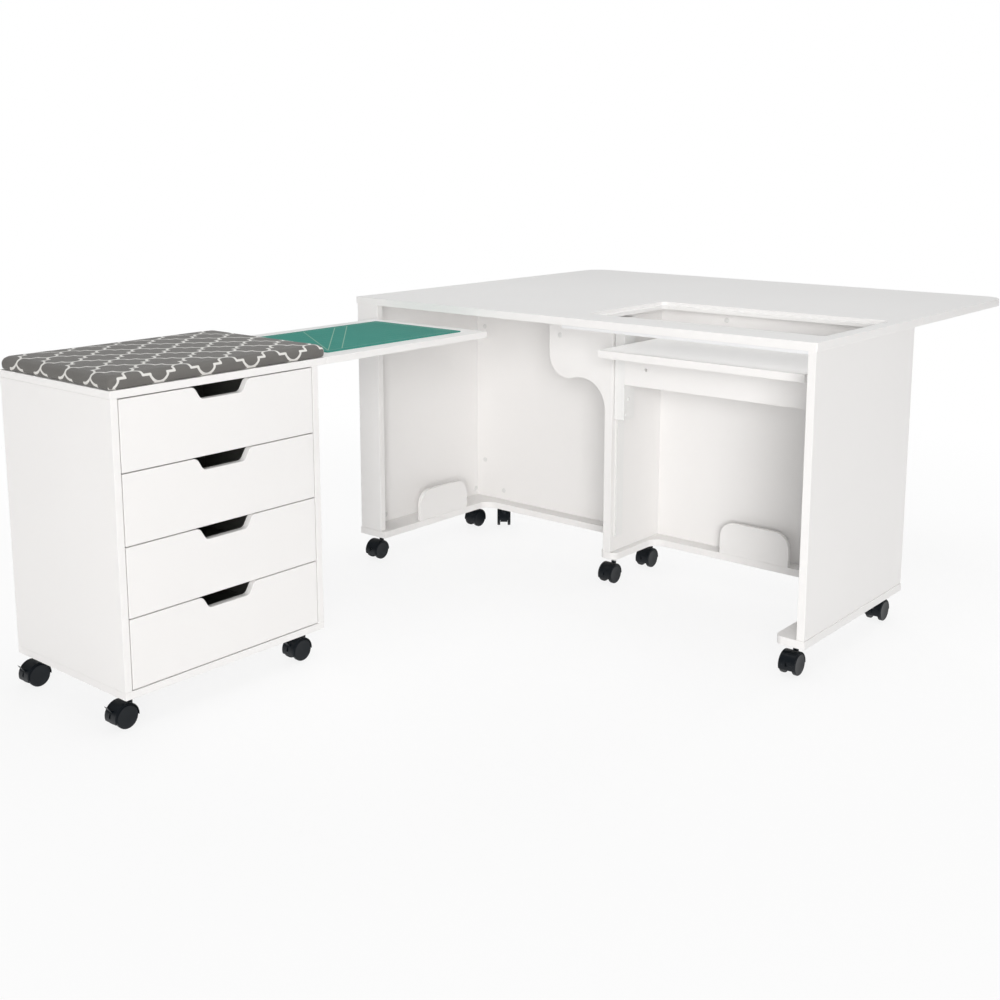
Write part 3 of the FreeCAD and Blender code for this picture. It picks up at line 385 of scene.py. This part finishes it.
finishes = {
    "white_laminate": laminate_finish("white_laminate", WHITE),
    "stiffener_metal": enamel_finish("stiffener_metal", STIFFENER_GREY),
    "zinc_steel": steel_finish("zinc_steel", ZINC, ZINC_GRAIN, ZINC_ROUGHNESS),
    "track_white": enamel_finish("track_white", TRACK_WHITE),
    "mat_green": mat_finish("mat_green", *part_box("cutting_mat")),
    "caster_black": caster_finish("caster_black", NYLON_BLACK, STEM_STEEL),
}
# Drawer boxes get a dark grey laminate, painted shade for the deep inside seen through the drawer notches
drawer_painted_shade = laminate_finish("drawer_painted_shade", DRAWER_SHADE_GREY)
for subpart in subparts:
    finish = finishes.get(subpart["material_slot"])
    if subpart["node"].startswith("drawer_") and subpart["node"].endswith("_box"):
        finish = drawer_painted_shade
    if finish:
        mesh = nodes[subpart["node"]].data
        mesh.materials.clear()
        mesh.materials.append(finish)


def edge_shading():
    """Joins corners that a mesh holds twice, and shades smooth across all but its sharp edges."""
    group = bpy.data.node_groups.new("edge_shading", "GeometryNodeTree")
    for way in ("INPUT", "OUTPUT"):
        group.interface.new_socket("Mesh", in_out=way, socket_type="NodeSocketGeometry")
    start, end = group.nodes.new("NodeGroupInput"), group.nodes.new("NodeGroupOutput")
    join = group.nodes.new("GeometryNodeMergeByDistance")
    join.inputs["Distance"].default_value = SAME_CORNER
    angle = group.nodes.new("GeometryNodeInputMeshEdgeAngle")
    sharp = group.nodes.new("FunctionNodeCompare")
    sharp.operation = "GREATER_THAN"
    sharp.inputs[1].default_value = SHARP_ANGLE
    shade = group.nodes.new("GeometryNodeSetMeshNormal")
    shade.inputs["Remove Custom"].default_value = True
    for out, into in ((start.outputs[0], join.inputs[0]),
                      (join.outputs[0], shade.inputs["Mesh"]),
                      (angle.outputs[0], sharp.inputs[0]),
                      (sharp.outputs[0], shade.inputs["Edge Sharpness"]),
                      (shade.outputs[0], end.inputs[0])):
        group.links.new(out, into)
    return group


shading = edge_shading()
for subpart in subparts:
    node = nodes[subpart["node"]]
    node.modifiers.new("edge_shading", "NODES").node_group = shading
    if subpart["material_slot"] in EASED:
        flats = node.modifiers.new("whole_flats", "DECIMATE")
        flats.decimate_type = "DISSOLVE"
        flats.angle_limit = FLAT_ANGLE
        rounded = node.modifiers.new("eased_edges", "BEVEL")
        rounded.width = EASED[subpart["material_slot"]]
        rounded.segments = EASED_STEPS
        rounded.limit_method = "ANGLE"
        rounded.angle_limit = SHARP_ANGLE
        rounded.harden_normals = True


def unrolled_cloth(mesh, layer, low, high):
    """Lays the pad's cover out flat: past the top's edge, the way round the bend and down counts outward."""
    uv = mesh.uv_layers.new(name=layer)
    spots = []
    for vertex in mesh.vertices:
        co, n = vertex.co, vertex.normal
        side = Vector((n.x, n.y))
        way = PAD_BEND * math.acos(min(max(n.z, 0.0), 1.0)) + max(high.z - co.z - PAD_BEND, 0.0)
        out = side.normalized() * way if side.length > PAD_LEAN else Vector((0, 0))
        flat_x = min(max(co.x, low.x + PAD_BEND), high.x - PAD_BEND)
        flat_y = min(max(co.y, low.y + PAD_BEND), high.y - PAD_BEND)
        spots.append((flat_y + out.y, flat_x + out.x))
    for loop in mesh.loops:
        uv.data[loop.index].uv = spots[loop.vertex_index]


def swell(pad):
    """Short cloth run with pressure and no gravity, applied to the mesh."""
    cloth = pad.modifiers.new("cloth", "CLOTH")
    cloth.settings.use_pressure = True
    cloth.settings.uniform_pressure_force = PAD_PRESSURE
    cloth.settings.effector_weights.gravity = 0.0
    for number in range(1, PAD_FRAMES + 1):
        scene.frame_set(number)
    bpy.ops.object.modifier_apply(modifier=cloth.name)
    scene.frame_set(1)


def fit_to_box(mesh, low, high):
    """Scales the swelled pad back to its box, and flattens its underside onto the board."""
    least = [min(v.co[axis] for v in mesh.vertices) for axis in range(3)]
    most = [max(v.co[axis] for v in mesh.vertices) for axis in range(3)]
    for vertex in mesh.vertices:
        for axis in range(3):
            share = (vertex.co[axis] - least[axis]) / (most[axis] - least[axis])
            vertex.co[axis] = low[axis] + share * (high[axis] - low[axis])
        rise = vertex.co.z - low.z
        if rise < PAD_SEAT:
            vertex.co.z = low.z + PAD_SEAT * (rise / PAD_SEAT) ** PAD_SEAT_POWER


def pressing_pad():
    """Padded cover on the caddy's top, swelled by a cloth run from the CAD pad's shape."""
    low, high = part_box("pressing_pad")
    mesh = nodes["pressing_pad"].data.copy()
    mesh.name = "pressing_pad_cover"
    pad = bpy.data.objects.new("pressing_pad_cover", mesh)
    scene.collection.objects.link(pad)
    bpy.context.view_layer.objects.active = pad
    pad.select_set(True)
    remesh = pad.modifiers.new("remesh", "REMESH")
    remesh.mode = "VOXEL"
    remesh.voxel_size = PAD_VOXEL
    bpy.ops.object.modifier_apply(modifier=remesh.name)
    before = [(v.co.copy(), v.normal.copy()) for v in pad.data.vertices]
    swell(pad)
    for vertex, (start, outward) in zip(pad.data.vertices, before):
        rise = (vertex.co - start).dot(outward)
        vertex.co = start + outward * min(max(rise, 0.0), PAD_SWELL)
    smooth = pad.modifiers.new("round", "SUBSURF")
    smooth.levels = smooth.render_levels = 1
    bpy.ops.object.modifier_apply(modifier=smooth.name)
    mesh = pad.data
    fit_to_box(mesh, low, high)
    for face in mesh.polygons:
        face.use_smooth = True
    mesh.update()
    unrolled_cloth(mesh, "cover", low, high)
    mesh.materials.clear()
    mesh.materials.append(trellis_cloth("pad_cloth", "cover", low.y, high.x + TRELLIS_FORWARD))
    pad.select_set(False)
    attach(pad, "caddy")
    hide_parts("pressing_pad")


def round_heads(name, rings, spots, smooth):
    """Closed round heads of stacked rings, one at each spot, with a cross where arm and radius differ."""
    bm = bmesh.new()
    for spot, out in spots:
        turn = out.to_track_quat("Z", "Y")
        last = None
        for radius, arm, height in rings:
            ring = []
            for i in range(ROUND_SIDES):
                angle = 2 * math.pi * i / ROUND_SIDES
                reach = arm if (i + 1) % (ROUND_SIDES // 4) < ARM_CORNERS else radius
                local = Vector((reach * math.cos(angle), reach * math.sin(angle), height)) * MM
                ring.append(bm.verts.new(spot + turn @ local))
            if last:
                for i in range(ROUND_SIDES):
                    j = (i + 1) % ROUND_SIDES
                    bm.faces.new((last[i], last[j], ring[j], ring[i])).smooth = smooth
            else:
                bm.faces.new(reversed(ring))
            last = ring
        bm.faces.new(last).smooth = smooth
    mesh = bpy.data.meshes.new(name)
    bm.to_mesh(mesh)
    bm.free()
    return mesh


def add_piece(name, mesh, finish, body):
    """New piece of the object, riding on a body."""
    piece = bpy.data.objects.new(name, mesh)
    scene.collection.objects.link(piece)
    mesh.materials.append(finish)
    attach(piece, body)


def cover_caps():
    """Small press-in caps over the cam screws on the inner faces of the panels."""
    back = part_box("back_panels")[0].y
    left_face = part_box("left_side_panel")[1].x
    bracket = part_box("scalloped_bracket")[0].y
    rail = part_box("left_base_rail")[0].z
    right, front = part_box("table_top")[1].x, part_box("table_top")[0].y
    spots = [(Vector((right - x, back, rail + z)), FRONTWARD) for x, z in BACK_CAPS]
    spots += [(Vector((left_face, front + y, rail + z)), RIGHTWARD) for y, z in LEFT_CAPS]
    x, z = BRACKET_CAP
    spots.append((Vector((right - x, bracket, rail + z)), FRONTWARD))
    mesh = round_heads("cover_caps", CAP_RINGS, spots, smooth=True)
    add_piece("cover_caps", mesh, laminate_finish("cover_cap", CAP_WHITE), "table")


def screw_heads(name, spots, body):
    """Countersunk cross-head screws, their heads a little proud of the plate."""
    mesh = round_heads(name, SCREW_RINGS, spots, smooth=False)
    add_piece(name, mesh, finishes["zinc_steel"], body)


def hinge_screws(hinges, count, side):
    """Places of three screws in each plate of evenly spread hinges, on one side of their seam."""
    low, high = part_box(hinges)
    first, last = low.x + HINGE_LENGTH / 2, high.x - HINGE_LENGTH / 2
    seam = high.y - HINGE_PLATE_WIDTH
    spots = []
    for number in range(count):
        middle = first + (last - first) * number / (count - 1)
        for step in (-HINGE_SCREW_STEP, 0.0, HINGE_SCREW_STEP):
            place = (middle + step, seam + side * HINGE_PLATE_WIDTH / 2, high.z - HINGE_PLATE)
            spots.append((Vector(place), DOWN))
    return spots


def stay_screws(brackets, middles):
    """Places of two screws, one above the other, in the bracket behind each stay."""
    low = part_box(brackets)[0]
    spots = []
    for x in middles:
        for step in (-STAY_SCREW_STEP, STAY_SCREW_STEP):
            place = (x, low.y + STAY_PLATE, low.z + STAY_PLATE_HEIGHT / 2 + step)
            spots.append((Vector(place), BACKWARD))
    return spots


pressing_pad()
cover_caps()
screw_heads("rear_hinge_screws", hinge_screws("rear_leaf_hinges", REAR_HINGES, -1), "table")
screw_heads("rear_leaf_screws", hinge_screws("rear_leaf_hinges", REAR_HINGES, 1), "rear_leaf")
screw_heads("caddy_hinge_screws", hinge_screws("caddy_leaf_hinges", CADDY_HINGES, -1), "caddy")
screw_heads("caddy_leaf_screws", hinge_screws("caddy_leaf_hinges", CADDY_HINGES, 1), "caddy_leaf")
left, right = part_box("rear_leaf_stays")
rear_middles = (left.x + STAY_WIDTH / 2, right.x - STAY_WIDTH / 2)
screw_heads("rear_stay_screws", stay_screws("rear_hinge_brackets", rear_middles), "table")
left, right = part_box("caddy_leaf_stay")
caddy_middle = (left.x + right.x) / 2
screw_heads("caddy_stay_screws", stay_screws("caddy_hinge_brackets", [caddy_middle]), "caddy")


def studio_floor():
    """White floor that keeps the shadows near the object and fades to plain white further off."""
    f = Finish("studio_floor")
    place = f.place()
    x, y, _ = f.axes(place)
    grain = f.noise(place, scale=2.0, detail=2.0)
    f.set(Base_Color=f.blend(grain, *FLOOR_GREYS), Roughness=0.6, Specular_IOR_Level=0.1)
    camera_ray = f.make("ShaderNodeLightPath", out="Is Camera Ray")
    glossy_ray = f.make("ShaderNodeLightPath", out="Is Glossy Ray")
    plain = 1 - x.across(y).below(FLOOR_SHADE_REACH, FLOOR_SHADE_FADE) * FLOOR_SHADE
    glow = f.make("ShaderNodeEmission", None, {"Color": (1, 1, 1), "Strength": 1.0})
    lit = Signal(f, f.shader.outputs[0])
    both = f.make("ShaderNodeMixShader", None, [camera_ray.most(glossy_ray) * plain, lit, glow])
    f.tree.links.new(both.socket, f.output.inputs["Surface"])
    bm = bmesh.new()
    bmesh.ops.create_grid(bm, x_segments=4, y_segments=4, size=FLOOR_SIZE)
    mesh = bpy.data.meshes.new("studio_floor")
    bm.to_mesh(mesh)
    bm.free()
    floor = bpy.data.objects.new("studio_floor", mesh)
    scene.collection.objects.link(floor)
    mesh.materials.append(f.material)
    floor.location.z = -FLOOR_DROP


def studio_light():
    """Even pale surroundings, a distant soft box behind the camera, one overhead and two at the back."""
    world = bpy.data.worlds.new("studio")
    scene.world = world
    world.use_nodes = True
    tree = world.node_tree
    back = tree.nodes["Background"]
    path = tree.nodes.new("ShaderNodeLightPath")
    level = tree.nodes.new("ShaderNodeMapRange")
    level.inputs["To Min"].default_value = SURROUNDINGS
    level.inputs["To Max"].default_value = 1.0
    tree.links.new(path.outputs["Is Camera Ray"], level.inputs["Value"])
    tree.links.new(level.outputs["Result"], back.inputs["Strength"])
    back.inputs["Color"].default_value = (1.0, 1.0, 1.0, 1.0)
    for name, (spot, aim, width, power, colour, mirrored) in LAMPS.items():
        data = bpy.data.lights.new(name, "AREA")
        data.shape = "DISK"
        data.size = width
        data.energy = power
        data.color = colour
        lamp = bpy.data.objects.new(name, data)
        lamp.location = spot
        lamp.rotation_euler = (Vector(aim) - Vector(spot)).to_track_quat("-Z", "Y").to_euler()
        lamp.visible_glossy = mirrored
        scene.collection.objects.link(lamp)


def photo_camera():
    """Camera where the photograph was taken from."""
    data = bpy.data.cameras.new("photo_camera")
    data.sensor_width = CAMERA_SENSOR
    data.lens = CAMERA_LENS
    data.shift_y = CAMERA_SHIFT
    camera = bpy.data.objects.new("photo_camera", data)
    camera.location = CAMERA_PLACE
    camera.rotation_euler = (math.pi / 2 - CAMERA_DOWN, 0.0, CAMERA_TURN)
    scene.collection.objects.link(camera)
    scene.camera = camera
    scene.view_settings.view_transform = "Standard"


studio_floor()
studio_light()
photo_camera()
